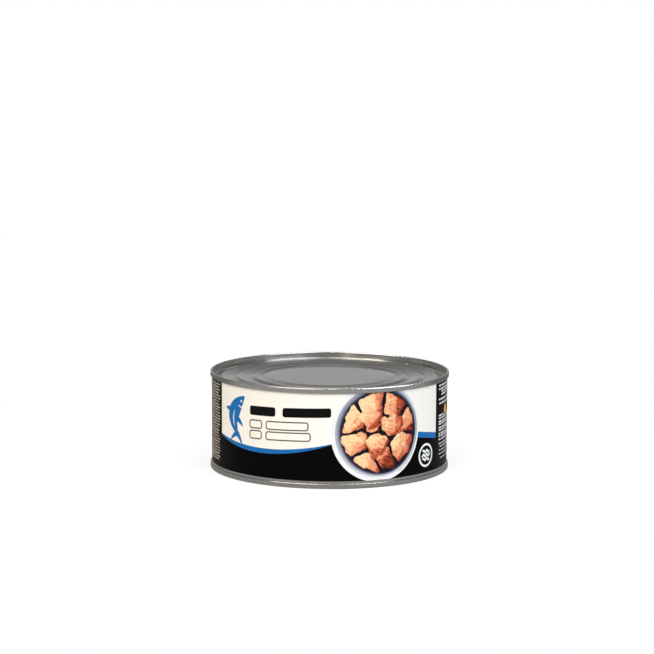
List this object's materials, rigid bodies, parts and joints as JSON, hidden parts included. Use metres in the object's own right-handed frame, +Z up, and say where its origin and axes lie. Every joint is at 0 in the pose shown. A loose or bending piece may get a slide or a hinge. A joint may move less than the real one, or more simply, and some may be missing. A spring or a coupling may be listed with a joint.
{
  "type": "food can",
  "caption": "Shut low round food can for tuna, with a lithographed wall and a beaded, double-seamed tinplate end at top and bottom.",
  "frame": {"origin": "centre of the can's foot, on the surface that it stands on", "axes": "+Z up along the can's axis; the printed front faces -Y"},
  "size_m": [0.1572, 0.1572, 0.064],
  "materials": {
    "printed_wall": "glossy lacquered print on tinplate, in black, cream and blue, with a bare strip of tinplate at the foot",
    "tinplate": "satin tinplate with a fine grey mottle, brighter on the rolled seams"
  },
  "bodies": {
    "root": {"can_body": "printed_wall", "top_end": "tinplate", "bottom_end": "tinplate"}
  },
  "joints": []
}
